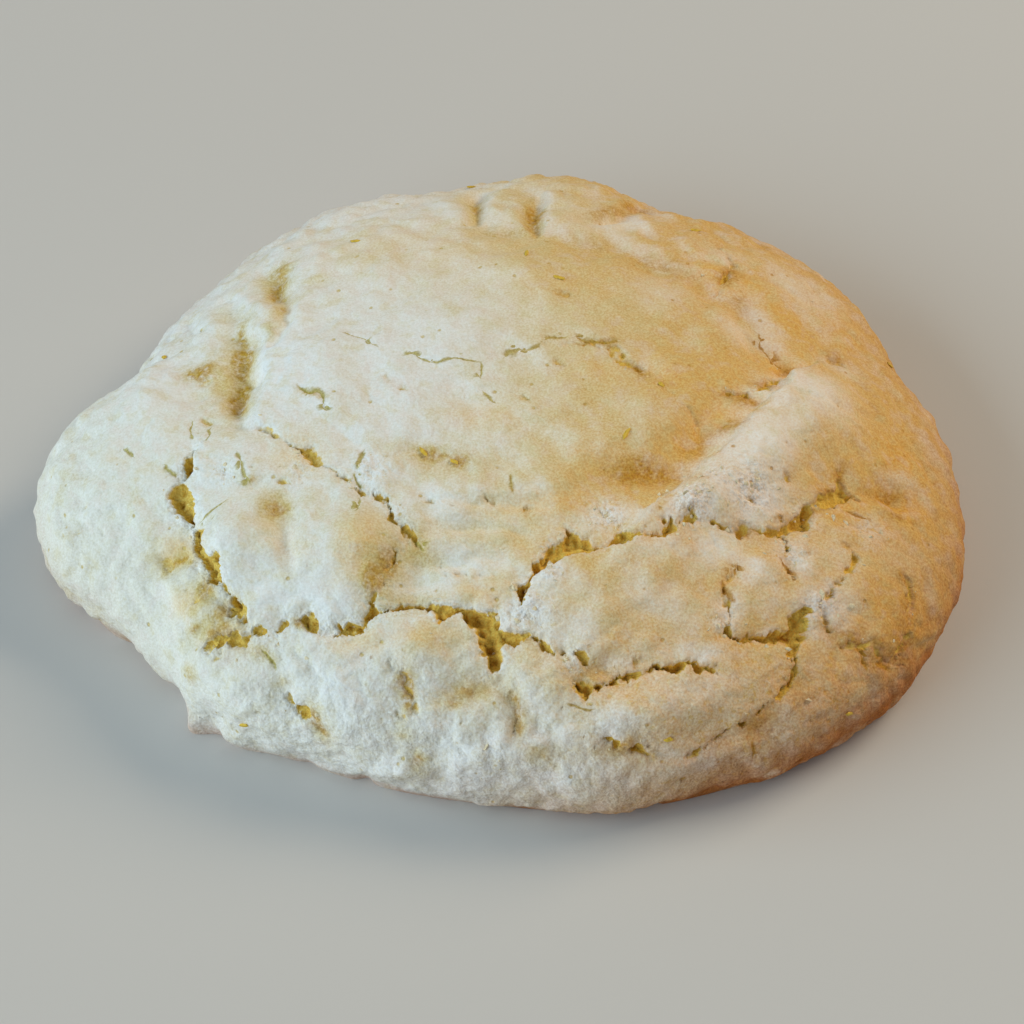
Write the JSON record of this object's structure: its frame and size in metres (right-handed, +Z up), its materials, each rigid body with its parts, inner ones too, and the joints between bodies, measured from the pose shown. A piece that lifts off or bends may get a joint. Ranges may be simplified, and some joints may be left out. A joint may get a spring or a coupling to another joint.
{
  "type": "lemon cookie",
  "caption": "Thick, soft, domed cookie with a pale cracked crust, raised plates between the cracks, a lobe on one side and a flat underside.",
  "frame": {"origin": "middle of the flat underside, at the height of the surface the cookie lies on", "axes": "+Z up out of the domed crust, +X along the longest way across, away from the side lobe, -Y towards the cracked front"},
  "size_m": [0.0687, 0.0604, 0.0171],
  "materials": {
    "cookie_crust": "matt, finely grained baked dough"
  },
  "bodies": {
    "root": {"cookie": "cookie_crust"}
  },
  "joints": []
}
